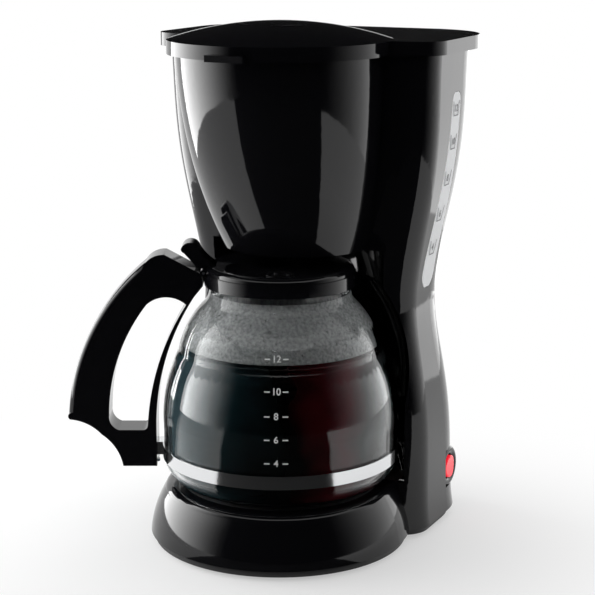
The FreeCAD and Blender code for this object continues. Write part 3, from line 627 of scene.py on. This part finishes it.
@dataclass
class RoundSwitch:
    """The round rocker switch: a domed bezel and the lit rocker in it.

    Attributes:
        bezel_radius: Outer radius of the bezel.
        bezel_rise: Height of its arched rim.
        bezel_rows: Spans of the arch.
        bezel_sunk: How far its top is behind the CAD bezel's front.
        hole_radius: Radius of the hole for the rocker.
        rocker_radius: Radius of the rocker.
        rocker_sunk: How far its face is behind the CAD bezel's front.
        rocker_back: How far its back is in front of the bezel's.
        rocker_edge: Depth of the soft edge round its face.
        rocker_rows: Circles of points on its face.
        rocker_outer: Radius of the largest of them, as a share of the rocker's.
        dip: Depth of the hollow across its face.
        steps: Points round both pieces.
    """

    bezel_radius: float = 0.0140
    bezel_rise: float = 0.003
    bezel_rows: int = 10
    bezel_sunk: float = 0.0030
    hole_radius: float = 0.0078
    rocker_radius: float = 0.0074
    rocker_sunk: float = 0.0022
    rocker_back: float = 0.001
    rocker_edge: float = 0.0006
    rocker_rows: int = 10
    rocker_outer: float = 0.95
    dip: float = 0.0008
    steps: int = 48
    y: float = field(init=False, default=0.0)
    z: float = field(init=False, default=0.0)
    back: float = field(init=False, default=0.0)
    front: float = field(init=False, default=0.0)

    def build(self) -> None:
        """Make both pieces where their CAD nodes are."""
        box = [vertex.co for vertex in frame["nodes"]["switch_bezel"].data.vertices]
        self.y, self.z = (sum(f(v[i] for v in box) for f in (min, max)) / 2 for i in (1, 2))
        self.back, self.front = min(v.x for v in box), max(v.x for v in box)
        self.bezel()
        self.rocker()

    def rings(self, rows: list) -> list:
        """Return the points of (radius, x) circles about the switch."""
        angles = [FULL_TURN * step / self.steps for step in range(self.steps)]
        return [(x, self.y + radius * math.cos(angle), self.z + radius * math.sin(angle))
                for radius, x in rows for angle in angles]

    def bezel(self) -> None:
        """Make the round bezel."""
        base = self.front - self.bezel_sunk - self.bezel_rise
        middle = (self.bezel_radius + self.hole_radius) / 2
        half = (self.bezel_radius - self.hole_radius) / 2
        arch = [(middle + half * math.cos(angle), base + self.bezel_rise * math.sin(angle))
                for angle in (math.pi * step / self.bezel_rows
                              for step in range(self.bezel_rows + 1))]
        rows = [(self.bezel_radius, self.back), *arch, (self.hole_radius, self.back)]
        faces = [face for i in range(len(rows))
                 for face in skin(i, (i + 1) % len(rows), self.steps)]
        bezel = mesh_object("round_bezel", self.rings(rows), faces)
        dress(bezel, make_material(FINISHES["black_shell"]), Body.MACHINE)
        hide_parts("switch_bezel")

    def rocker(self) -> None:
        """Make the lit rocker, hollowed across its face."""
        face, radius = self.front - self.rocker_sunk, self.rocker_radius
        shares = [self.rocker_outer * (1 - i / self.rocker_rows)
                  for i in range(self.rocker_rows)]
        rows = [(radius, self.back + self.rocker_back), (radius, face - self.rocker_edge),
                *[(radius * share, face) for share in shares]]
        points = self.rings(rows)
        hollowed = [(x - self.dip * (1 - ((z - self.z) / radius) ** 2), y, z)
                    for x, y, z in points[self.steps:]]
        rocker = mesh_object("round_rocker", points[:self.steps] + hollowed,
                             capped(len(rows), self.steps))
        dress(rocker, make_material(FINISHES["red_lens"]), Body.ROCKER)
        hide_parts("switch_rocker")


@dataclass
class LidVents:
    """Two crescent steam vents on the dome.

    Attributes:
        radius: Radius of the crescents about the dome's axis.
        wide: Greatest width of a crescent.
        blunt: Share of its length at which its width stops falling.
        spans: First and last angle of each, in degrees.
        steps: Spans along each.
    """

    radius: float = 0.026
    wide: float = 0.0032
    blunt: float = 0.04
    spans: tuple[tuple[float, float], ...] = ((-155.0, -105.0), (-75.0, -25.0))
    steps: int = 20

    def build(self) -> None:
        """Make both crescents."""
        tree = surface_of("brew_lid")
        lift = Vector((0, 0, MARK_LIFT))
        for index, (first, last) in enumerate(self.spans):
            verts = []
            for step in range(self.steps + 1):
                share = step / self.steps
                angle = math.radians(first + (last - first) * share)
                inner = min(max(share, self.blunt), 1 - self.blunt)
                half = self.wide / 2 * math.sin(math.pi * inner)
                for reach in (self.radius - half, self.radius + half):
                    spot = Vector((reach * math.cos(angle), reach * math.sin(angle), ABOVE))
                    verts.append(tree.ray_cast(spot, DOWN)[0] + lift)
            faces = [(2 * i, 2 * i + 1, 2 * i + 3, 2 * i + 2) for i in range(self.steps)]
            vent = mesh_object(f"lid_vent_{index}", verts, faces)
            dress(vent, make_material(FINISHES["matte_black"]), Body.LID)


@dataclass(frozen=True)
class Wash:
    """A stretch of the light wall that brightens along its length.

    Attributes:
        dark: Where it starts, in degrees about the machine from +X.
        bright: Where it ends.
        strength: Emission at the bright end.
    """

    dark: float
    bright: float
    strength: float

    def glow(self, angle: float) -> float:
        """Return the emission at an angle, in degrees."""
        share = (angle - self.dark) / (self.bright - self.dark)
        share = min(max(share, 0.0), 1.0)
        return self.strength * share * share * (3.0 - 2.0 * share)


@dataclass
class Studio:
    """Camera, floor, the light wall and the dark cards.

    Attributes:
        washes: Bright stretches of the light wall.
        wall_span: First and last angle of the wall, in degrees from +X.
        wall_reach: Its distance from the machine's axis.
        wall_high: Its height.
        front_span: First and last angle of the card on the floor.
        front_near: Distance of that card's near edge.
        front_lift: Its height over the floor.
        back_span: First and last angle of the card behind.
        back_low: Height of that card's lower edge.
        back_inset: How far it stands inside the wall.
        card_high: Height of the card overhead.
        steps: Spans along each swept band.
        floor_half: Half the side of the floor.
        room_light: Strength of the light from all round.
    """

    washes: tuple[Wash, ...] = (Wash(-110.0, -185.0, 7.0), Wash(-20.0, 90.0, 2.6))
    wall_span: tuple[float, float] = (-200.0, 100.0)
    wall_reach: float = 0.75
    wall_high: float = 0.62
    front_span: tuple[float, float] = (-117.0, -20.0)
    front_near: float = 0.086
    front_lift: float = 0.002
    back_span: tuple[float, float] = (40.0, 190.0)
    back_low: float = 0.34
    back_inset: float = 0.02
    card_high: float = 1.0
    steps: int = 54
    floor_half: float = 4.0
    room_light: float = 0.6

    def build(self) -> None:
        """Set up the studio."""
        self.camera()
        self.floor()
        self.world()
        self.light_wall()
        self.cards()
        bpy.context.scene.view_settings.view_transform = "Standard"

    def turns(self, span: tuple[float, float]) -> list[float]:
        """Return the angles along a span, in degrees."""
        first, last = span
        return [first + (last - first) * i / self.steps for i in range(self.steps + 1)]

    def sweep(self, name: str, span: tuple[float, float], rows: tuple) -> bpy.types.Object:
        """Return a band swept about the machine between two (radius, height) rows."""
        angles = [math.radians(turn) for turn in self.turns(span)]
        verts = [(r * math.cos(angle), r * math.sin(angle), z)
                 for r, z in rows for angle in angles]
        wide = len(angles)
        faces = [(i, i + 1, wide + i + 1, wide + i) for i in range(self.steps)]
        band = mesh_object(name, verts, faces, smooth=False)
        band.visible_camera = band.visible_shadow = False
        return band

    def light_wall(self) -> None:
        """Make the wall that lights both sides and leaves the front dark."""
        rows = ((self.wall_reach, 0.0), (self.wall_reach, self.wall_high))
        wall = self.sweep("light_wall", self.wall_span, rows)
        levels = [sum(wash.glow(turn) for wash in self.washes)
                  for turn in self.turns(self.wall_span)]
        glow = wall.data.attributes.new("glow", "FLOAT", "POINT")
        glow.data.foreach_set("value", levels * len(rows))
        material = bpy.data.materials.new("light_wall")
        material.use_nodes = True
        nodes, link = material.node_tree.nodes, material.node_tree.links.new
        nodes.remove(nodes["Principled BSDF"])
        read, light = nodes.new("ShaderNodeAttribute"), nodes.new("ShaderNodeEmission")
        read.attribute_name = "glow"
        link(read.outputs["Fac"], light.inputs["Strength"])
        link(light.outputs[0], nodes["Material Output"].inputs["Surface"])
        wall.data.materials.append(material)

    def cards(self) -> None:
        """Make the dark cards on the floor in front, behind and overhead."""
        black = make_material(CARD)
        reach, lift, high = self.wall_reach, self.front_lift, self.card_high
        back = reach - self.back_inset
        for name, span, rows in (
                ("front_card", self.front_span, ((self.front_near, lift), (reach, lift))),
                ("back_card", self.back_span, ((back, self.back_low), (back, high))),
                ("top_card", (0.0, 360.0), ((0.0, high), (reach, high)))):
            card = self.sweep(name, span, rows)
            card.visible_diffuse = False
            card.data.materials.append(black)

    @staticmethod
    def camera() -> None:
        """Make the camera at the photograph's angle."""
        data = bpy.data.cameras.new("camera")
        data.lens, data.sensor_width = CAMERA_LENS_MM, SENSOR_MM
        camera = linked("camera", data)
        camera.location = CAMERA_PLACE
        camera.rotation_euler = Euler((math.pi / 2 - CAMERA_PITCH, 0.0, CAMERA_TURN))
        bpy.context.scene.camera = camera

    @staticmethod
    def see_white(tree: bpy.types.NodeTree, surface: bpy.types.NodeSocket,
                  white: bpy.types.NodeSocket, target: bpy.types.NodeSocket) -> None:
        """Show the white shader to camera, glossy and transmission rays."""
        add, link = tree.nodes.new, tree.links.new
        path, mix = add("ShaderNodeLightPath"), add("ShaderNodeMixShader")
        first, second = (add("ShaderNodeMath") for _ in range(2))
        for node in (first, second):
            node.operation = "MAXIMUM"
        link(path.outputs["Is Camera Ray"], first.inputs[0])
        link(path.outputs["Is Glossy Ray"], first.inputs[1])
        link(first.outputs[0], second.inputs[0])
        link(path.outputs["Is Transmission Ray"], second.inputs[1])
        link(second.outputs[0], mix.inputs[0])
        link(surface, mix.inputs[1])
        link(white, mix.inputs[2])
        link(mix.outputs[0], target)

    def floor(self) -> None:
        """Make the pale floor, white away from the contact shadow."""
        half = self.floor_half
        corners = [(-half, -half, 0), (half, -half, 0), (half, half, 0), (-half, half, 0)]
        floor = mesh_object("floor", corners, [(0, 1, 2, 3)], smooth=False)
        material = make_material(FLOOR)
        floor.data.materials.append(material)
        tree = material.node_tree
        nodes, link = tree.nodes, tree.links.new
        place, far = nodes.new("ShaderNodeTexCoord"), nodes.new("ShaderNodeVectorMath")
        fade, blend = nodes.new("ShaderNodeMapRange"), nodes.new("ShaderNodeMixShader")
        white, pale = nodes.new("ShaderNodeEmission"), nodes["Principled BSDF"].outputs[0]
        far.operation = "LENGTH"
        fade.interpolation_type = "SMOOTHSTEP"
        set_inputs(fade, FLOOR_FADE)
        link(place.outputs["Object"], far.inputs[0])
        link(far.outputs["Value"], fade.inputs["Value"])
        link(fade.outputs["Result"], blend.inputs[0])
        link(pale, blend.inputs[1])
        link(white.outputs[0], blend.inputs[2])
        self.see_white(tree, pale, blend.outputs[0],
                       nodes["Material Output"].inputs["Surface"])

    def world(self) -> None:
        """Light the room softly and show white behind."""
        world = bpy.data.worlds.new("room")
        bpy.context.scene.world = world
        world.use_nodes = True
        tree = world.node_tree
        soft, white = tree.nodes["Background"], tree.nodes.new("ShaderNodeBackground")
        set_inputs(soft, {"Color": WHITE, "Strength": self.room_light})
        set_inputs(white, {"Color": WHITE, "Strength": 1.0})
        self.see_white(tree, soft.outputs[0], white.outputs[0],
                       tree.nodes["World Output"].inputs["Surface"])


def main() -> None:
    """Dress the machine and set up the studio."""
    logging.basicConfig(level=logging.INFO)
    builders: tuple[Callable[[], None], ...] = (
        Shells().build, Carafe().build, Gauge().build, DripSpring().build,
        RoundSwitch().build, LidVents().build, Studio().build)
    for build in builders:
        build()


if __name__ == "__main__":
    main()
